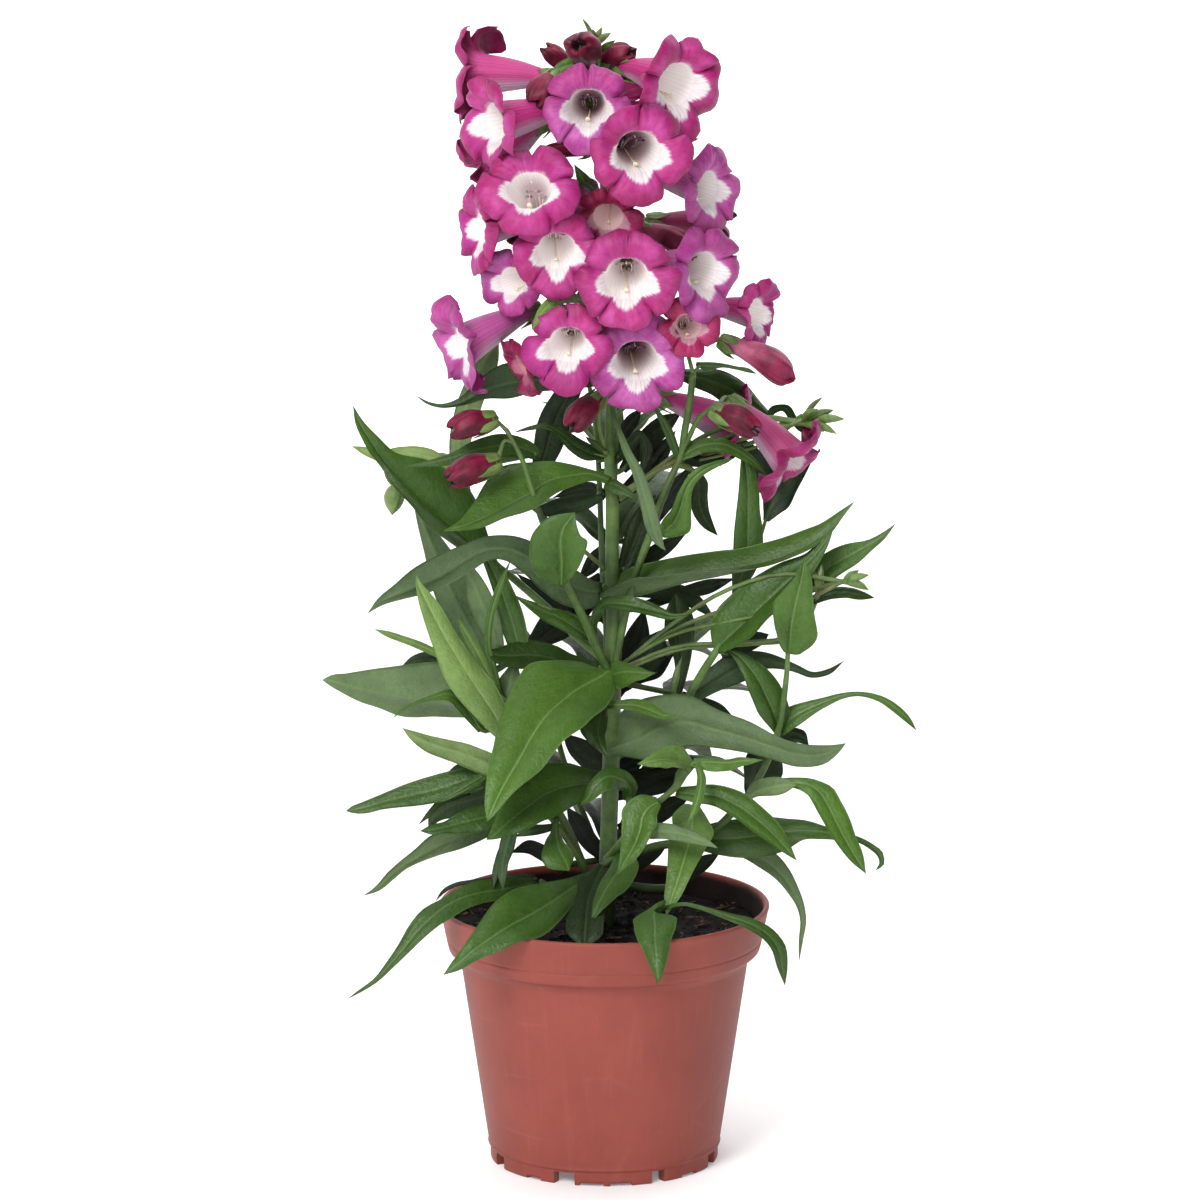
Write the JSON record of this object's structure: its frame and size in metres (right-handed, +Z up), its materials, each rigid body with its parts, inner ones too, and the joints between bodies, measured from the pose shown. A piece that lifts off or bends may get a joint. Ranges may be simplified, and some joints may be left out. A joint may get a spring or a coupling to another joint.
{
  "type": "potted beardtongue",
  "caption": "Flowering beardtongue with a spike of tubular magenta flowers above glossy narrow leaves, growing in a round terracotta-coloured nursery pot.",
  "frame": {"origin": "centre of the pot's underside, on the centre pad that stands on the floor", "axes": "+Z up through the pot and the flower spike, -Y towards the flowering side, +X to the right seen from that side"},
  "size_m": [0.2312, 0.173, 0.4525],
  "materials": {
    "pot": "satin",
    "compost": "matte",
    "stem": "satin",
    "leaf": "glossy",
    "flower": "satin"
  },
  "bodies": {
    "root": {"back_shoot": "stem", "base_left_shoot": "stem", "bud_centre": "flower", "centre_shoot": "stem", "compost": "compost", "flower_01": "flower", "flower_02": "flower", "flower_03": "flower", "flower_04": "flower", "flower_05": "flower", "flower_06": "flower", "flower_07": "flower", "flower_08": "flower", "flower_09": "flower", "flower_10": "flower", "flower_11": "flower", "flower_12": "flower", "flower_13": "flower", "flower_14": "flower", "flower_15": "flower", "flower_16": "flower", "flower_17": "flower", "flower_18": "flower", "flower_19": "flower", "flower_21": "flower", "flower_22": "flower", "flower_23": "flower", "flower_26": "flower", "flower_back_1": "flower", "flower_back_2": "flower", "flower_back_3": "flower", "flower_young_right": "flower", "leaf_front_right": "leaf", "leaf_pair_base_left_1": "leaf", "leaf_pair_base_left_2": "leaf", "leaf_pair_front_shoot": "leaf", "leaf_pair_left_shoot_1": "leaf", "leaf_pair_left_shoot_2": "leaf", "leaf_pair_low": "leaf", "leaf_pair_low_front": "leaf", "leaf_pair_middle": "leaf", "leaf_pair_right_low_1": "leaf", "leaf_pair_right_low_2": "leaf", "leaf_pair_right_mid": "leaf", "leaf_pair_right_outer": "leaf", "leaf_pair_top": "leaf", "leaf_pair_upper": "leaf", "leaves_over_rim_front": "leaf", "leaves_over_rim_left": "leaf", "leaves_over_rim_right": "leaf", "left_back_shoot": "stem", "left_front_shoot": "stem", "left_low_shoot": "stem", "low_front_shoot": "stem", "main_stem": "stem", "pot": "pot", "raceme_tip": "stem", "right_mid_shoot": "stem", "right_outer_shoot": "stem", "right_shoot": "stem"}
  },
  "joints": []
}
